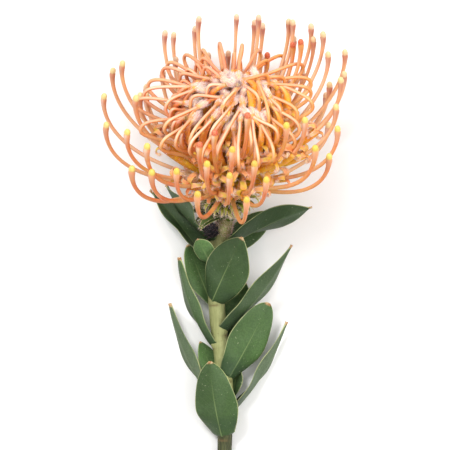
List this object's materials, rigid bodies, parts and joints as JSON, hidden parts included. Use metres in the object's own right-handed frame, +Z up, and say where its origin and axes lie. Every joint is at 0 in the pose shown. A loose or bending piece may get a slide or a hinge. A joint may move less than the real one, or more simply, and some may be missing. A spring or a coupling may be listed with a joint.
{
  "type": "pincushion protea flower",
  "caption": "Cut pincushion protea lying on its back: a leafy stem with a round head of long orange styles, looped and unopened in the middle, open and spreading round it.",
  "frame": {"origin": "middle of the underside of the whole flower's bounding box, on the surface that it lies on", "axes": "+Z up from the surface, +Y along the stem from its cut end to the flower head, +X across"},
  "size_m": [0.1029, 0.1989, 0.087],
  "materials": {
    "stem": "pale green skin with brown specks",
    "leaf": "waxy grey-green with pale margins",
    "bract": "downy green scales with pale fringes",
    "bud": "dark purple, downy",
    "style": "smooth, waxy salmon orange",
    "pollen_tip": "satin yellow",
    "perianth": "silky orange with pink and yellow",
    "hair": "fine silver-pink silk hair"
  },
  "bodies": {
    "root": {"stem": "stem", "involucre": "bract", "axillary_bud": "bud", "inner_florets": "perianth", "leaf_01": "leaf", "leaf_02": "leaf", "leaf_03": "leaf", "leaf_04": "leaf", "leaf_05": "leaf", "leaf_06": "leaf", "leaf_07": "leaf", "leaf_08": "leaf", "leaf_09": "leaf", "leaf_10": "leaf", "leaf_11": "leaf", "leaf_12": "leaf", "leaf_13": "leaf", "leaf_14": "leaf", "leaf_15": "leaf", "leaf_16": "leaf", "floret_01": "style", "floret_02": "style", "floret_03": "style", "floret_04": "style", "floret_05": "style", "floret_06": "style", "floret_07": "style", "floret_08": "style", "floret_09": "style", "floret_10": "style", "floret_11": "style", "floret_12": "style", "floret_13": "style", "floret_14": "style", "floret_15": "style", "floret_16": "style", "floret_17": "style", "floret_18": "style", "floret_19": "style", "floret_20": "style", "floret_21": "style", "floret_22": "style", "floret_23": "style", "floret_24": "style", "floret_25": "style", "floret_26": "style", "floret_27": "style", "floret_28": "style", "floret_29": "style", "floret_30": "style", "floret_31": "style", "floret_32": "style", "floret_33": "style", "floret_34": "style", "floret_35": "style", "floret_36": "style", "floret_37": "style", "floret_38": "style", "floret_39": "style", "floret_40": "style"}
  },
  "joints": []
}
